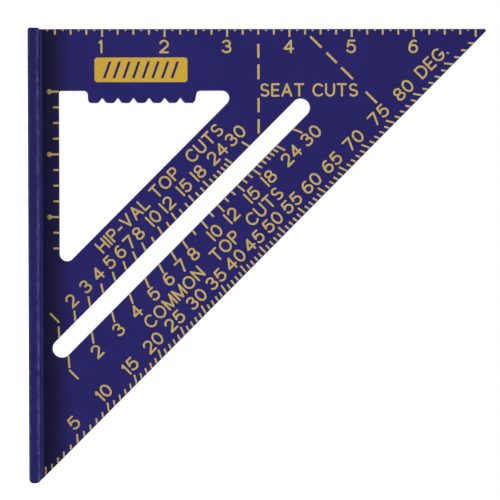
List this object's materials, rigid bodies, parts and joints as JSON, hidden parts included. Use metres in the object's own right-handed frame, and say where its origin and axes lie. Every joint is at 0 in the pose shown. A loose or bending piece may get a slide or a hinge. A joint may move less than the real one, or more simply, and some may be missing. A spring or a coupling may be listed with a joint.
{
  "type": "speed square",
  "caption": "Triangular aluminium rafter square with a T-section fence, toothed cut-out, 45 degree slot and enamel-filled scales.",
  "frame": {"origin": "middle of the fence's outer face, which the square stands on", "axes": "+Z out from the fence along the blade, +X along the fence away from the pivot corner, -Y out of the marked face"},
  "size_m": [0.1836, 0.0238, 0.1867],
  "materials": {
    "anodised_aluminium": "dark blue anodised, satin",
    "mark_enamel": "pale golden enamel fill, matt",
    "badge_enamel": "golden yellow enamel fill, matt"
  },
  "bodies": {
    "root": {"fence": "anodised_aluminium", "blade": "anodised_aluminium", "scribing_bar": "anodised_aluminium", "badge": "badge_enamel", "inch_mark_1": "mark_enamel", "inch_mark_2": "mark_enamel", "inch_mark_3": "mark_enamel", "inch_mark_4": "mark_enamel", "inch_mark_5": "mark_enamel", "inch_mark_6": "mark_enamel", "inch_mark_7": "mark_enamel", "inner_inch_mark_1": "mark_enamel", "inner_inch_mark_2": "mark_enamel", "inner_inch_mark_3": "mark_enamel", "degree_mark_0": "mark_enamel", "degree_mark_5": "mark_enamel", "degree_mark_10": "mark_enamel", "degree_mark_15": "mark_enamel", "degree_mark_20": "mark_enamel", "degree_mark_25": "mark_enamel", "degree_mark_30": "mark_enamel", "degree_mark_35": "mark_enamel", "degree_mark_40": "mark_enamel", "degree_mark_45": "mark_enamel", "degree_mark_50": "mark_enamel", "degree_mark_55": "mark_enamel", "degree_mark_60": "mark_enamel", "degree_mark_65": "mark_enamel", "degree_mark_70": "mark_enamel", "degree_mark_75": "mark_enamel", "degree_mark_80": "mark_enamel", "degree_mark_85": "mark_enamel", "common_rafter_mark_1": "mark_enamel", "common_rafter_mark_2": "mark_enamel", "common_rafter_mark_3": "mark_enamel", "common_rafter_mark_4": "mark_enamel", "common_rafter_mark_5": "mark_enamel", "common_rafter_mark_6": "mark_enamel", "common_rafter_mark_7": "mark_enamel", "common_rafter_mark_8": "mark_enamel", "common_rafter_mark_10": "mark_enamel", "common_rafter_mark_12": "mark_enamel", "common_rafter_mark_15": "mark_enamel", "common_rafter_mark_18": "mark_enamel", "common_rafter_mark_24": "mark_enamel", "common_rafter_mark_30": "mark_enamel", "hip_valley_mark_1": "mark_enamel", "hip_valley_mark_2": "mark_enamel", "hip_valley_mark_3": "mark_enamel", "hip_valley_mark_4": "mark_enamel", "hip_valley_mark_5": "mark_enamel", "hip_valley_mark_6": "mark_enamel", "hip_valley_mark_7": "mark_enamel", "hip_valley_mark_8": "mark_enamel", "hip_valley_mark_10": "mark_enamel", "hip_valley_mark_12": "mark_enamel", "hip_valley_mark_15": "mark_enamel", "hip_valley_mark_18": "mark_enamel", "hip_valley_mark_24": "mark_enamel", "hip_valley_mark_30": "mark_enamel"}
  },
  "joints": []
}
